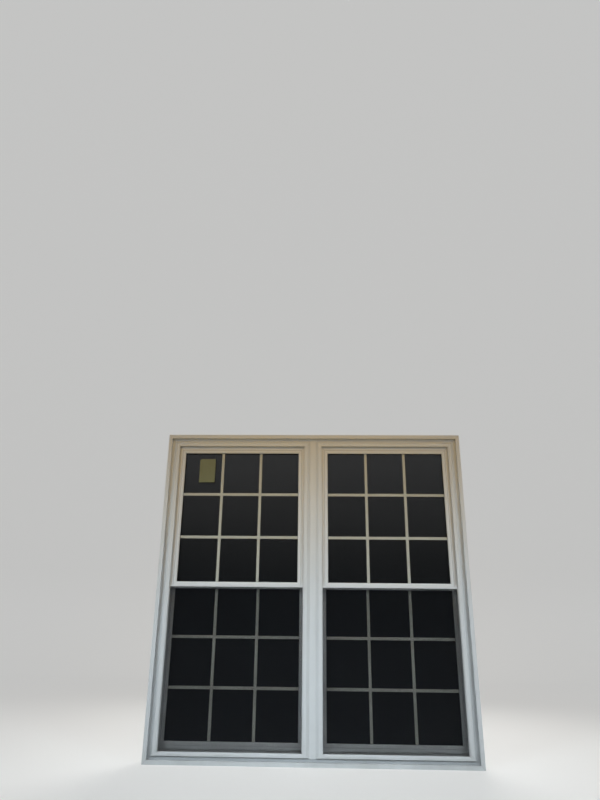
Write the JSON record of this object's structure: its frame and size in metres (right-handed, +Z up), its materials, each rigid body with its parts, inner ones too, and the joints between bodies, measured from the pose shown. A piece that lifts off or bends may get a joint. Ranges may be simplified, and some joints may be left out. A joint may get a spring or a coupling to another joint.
{
  "type": "twin double-hung sash window",
  "caption": "Twin sash window: welded white vinyl frame with a centre mullion, sliding tilt-in sashes on balances, grilles between the panes and half insect screens",
  "frame": {"origin": "bottom of the frame, middle of its width and depth", "axes": "X to the right seen from outside, Y into the room, Z up"},
  "size_m": [1.829, 0.098, 1.836],
  "materials": {
    "frame_vinyl": "white vinyl extrusion, satin",
    "sash_vinyl": "white vinyl extrusion, satin",
    "glass": "clear float glass",
    "spacer": "mill finish",
    "grille": "white enamel on aluminium strip",
    "steel": "plain",
    "nylon": "natural nylon",
    "latch": "white moulded plastic",
    "lock": "white powder coat on die casting",
    "pile": "grey woven pile",
    "screen_frame": "white enamel on roll-formed aluminium",
    "screen_mesh": "charcoal coated fibreglass mesh"
  },
  "bodies": {
    "frame": {"frame_head": "frame_vinyl", "frame_sill": "frame_vinyl", "frame_jamb_left": "frame_vinyl", "frame_jamb_right": "frame_vinyl", "frame_mullion": "frame_vinyl", "left_screen_frame": "screen_frame", "left_screen_mesh": "screen_mesh", "right_screen_frame": "screen_frame", "right_screen_mesh": "screen_mesh"},
    "left_lower_carriage": {"left_lower_balance_shoes": "nylon", "left_lower_balance_coils": "steel"},
    "left_lower_sash": {"left_lower_sash_frame": "sash_vinyl", "left_lower_glazing_beads": "sash_vinyl", "left_lower_glass": "glass", "left_lower_spacer": "spacer", "left_lower_grille": "grille", "left_lower_pivot_bars": "steel", "left_lower_lock_housings": "lock", "left_lower_meeting_seal": "pile"},
    "left_upper_sash": {"left_upper_sash_frame": "sash_vinyl", "left_upper_glazing_beads": "sash_vinyl", "left_upper_glass": "glass", "left_upper_spacer": "spacer", "left_upper_grille": "grille", "left_upper_pivot_bars": "steel", "left_upper_balance_shoes": "nylon", "left_upper_balance_coils": "steel", "left_upper_keepers": "lock"},
    "left_lower_cam_left": {"left_lower_lock_cam_left": "lock"},
    "left_lower_latch_left": {"left_lower_latch_left": "latch"},
    "left_upper_latch_left": {"left_upper_latch_left": "latch"},
    "left_lower_cam_right": {"left_lower_lock_cam_right": "lock"},
    "left_lower_latch_right": {"left_lower_latch_right": "latch"},
    "left_upper_latch_right": {"left_upper_latch_right": "latch"},
    "right_lower_carriage": {"right_lower_balance_shoes": "nylon", "right_lower_balance_coils": "steel"},
    "right_lower_sash": {"right_lower_sash_frame": "sash_vinyl", "right_lower_glazing_beads": "sash_vinyl", "right_lower_glass": "glass", "right_lower_spacer": "spacer", "right_lower_grille": "grille", "right_lower_pivot_bars": "steel", "right_lower_lock_housings": "lock", "right_lower_meeting_seal": "pile"},
    "right_upper_sash": {"right_upper_sash_frame": "sash_vinyl", "right_upper_glazing_beads": "sash_vinyl", "right_upper_glass": "glass", "right_upper_spacer": "spacer", "right_upper_grille": "grille", "right_upper_pivot_bars": "steel", "right_upper_balance_shoes": "nylon", "right_upper_balance_coils": "steel", "right_upper_keepers": "lock"},
    "right_lower_cam_left": {"right_lower_lock_cam_left": "lock"},
    "right_lower_latch_left": {"right_lower_latch_left": "latch"},
    "right_upper_latch_left": {"right_upper_latch_left": "latch"},
    "right_lower_cam_right": {"right_lower_lock_cam_right": "lock"},
    "right_lower_latch_right": {"right_lower_latch_right": "latch"},
    "right_upper_latch_right": {"right_upper_latch_right": "latch"}
  },
  "joints": [
    {"name": "left_lower_slide", "type": "slide", "parent": "frame", "child": "left_lower_carriage", "axis": [0, 0, 1], "range_m": [0, 0.76]},
    {"name": "left_lower_tilt", "type": "hinge", "parent": "left_lower_carriage", "child": "left_lower_sash", "pos_m": [-0.44725, 0.022, 0.077], "axis": [-1, 0, 0], "range_deg": [0, 90]},
    {"name": "left_upper_slide", "type": "slide", "parent": "frame", "child": "left_upper_sash", "axis": [0, 0, -1], "range_m": [0, 0.76]},
    {"name": "left_lower_lock_left_turn", "type": "hinge", "parent": "left_lower_sash", "child": "left_lower_cam_left", "pos_m": [-0.632, 0.017, 0.94175], "axis": [0, 0, 1], "range_deg": [0, 135]},
    {"name": "left_lower_latch_left_slide", "type": "slide", "parent": "left_lower_sash", "child": "left_lower_latch_left", "axis": [1, 0, 0], "range_m": [0, 0.009], "stiffness_N_per_m": 300, "springref_m": -0.01},
    {"name": "left_upper_latch_left_slide", "type": "slide", "parent": "left_upper_sash", "child": "left_upper_latch_left", "axis": [1, 0, 0], "range_m": [0, 0.009], "stiffness_N_per_m": 300, "springref_m": -0.01},
    {"name": "left_lower_lock_right_turn", "type": "hinge", "parent": "left_lower_sash", "child": "left_lower_cam_right", "pos_m": [-0.25511, 0.017, 0.94175], "axis": [0, 0, 1], "range_deg": [0, 135]},
    {"name": "left_lower_latch_right_slide", "type": "slide", "parent": "left_lower_sash", "child": "left_lower_latch_right", "axis": [-1, 0, 0], "range_m": [0, 0.009], "stiffness_N_per_m": 300, "springref_m": -0.01},
    {"name": "left_upper_latch_right_slide", "type": "slide", "parent": "left_upper_sash", "child": "left_upper_latch_right", "axis": [-1, 0, 0], "range_m": [0, 0.009], "stiffness_N_per_m": 300, "springref_m": -0.01},
    {"name": "right_lower_slide", "type": "slide", "parent": "frame", "child": "right_lower_carriage", "axis": [0, 0, 1], "range_m": [0, 0.76]},
    {"name": "right_lower_tilt", "type": "hinge", "parent": "right_lower_carriage", "child": "right_lower_sash", "pos_m": [0.44725, 0.022, 0.077], "axis": [-1, 0, 0], "range_deg": [0, 90]},
    {"name": "right_upper_slide", "type": "slide", "parent": "frame", "child": "right_upper_sash", "axis": [0, 0, -1], "range_m": [0, 0.76]},
    {"name": "right_lower_lock_left_turn", "type": "hinge", "parent": "right_lower_sash", "child": "right_lower_cam_left", "pos_m": [0.2625, 0.017, 0.94175], "axis": [0, 0, 1], "range_deg": [0, 135]},
    {"name": "right_lower_latch_left_slide", "type": "slide", "parent": "right_lower_sash", "child": "right_lower_latch_left", "axis": [1, 0, 0], "range_m": [0, 0.009], "stiffness_N_per_m": 300, "springref_m": -0.01},
    {"name": "right_upper_latch_left_slide", "type": "slide", "parent": "right_upper_sash", "child": "right_upper_latch_left", "axis": [1, 0, 0], "range_m": [0, 0.009], "stiffness_N_per_m": 300, "springref_m": -0.01},
    {"name": "right_lower_lock_right_turn", "type": "hinge", "parent": "right_lower_sash", "child": "right_lower_cam_right", "pos_m": [0.63939, 0.017, 0.94175], "axis": [0, 0, 1], "range_deg": [0, 135]},
    {"name": "right_lower_latch_right_slide", "type": "slide", "parent": "right_lower_sash", "child": "right_lower_latch_right", "axis": [-1, 0, 0], "range_m": [0, 0.009], "stiffness_N_per_m": 300, "springref_m": -0.01},
    {"name": "right_upper_latch_right_slide", "type": "slide", "parent": "right_upper_sash", "child": "right_upper_latch_right", "axis": [-1, 0, 0], "range_m": [0, 0.009], "stiffness_N_per_m": 300, "springref_m": -0.01}
  ]
}
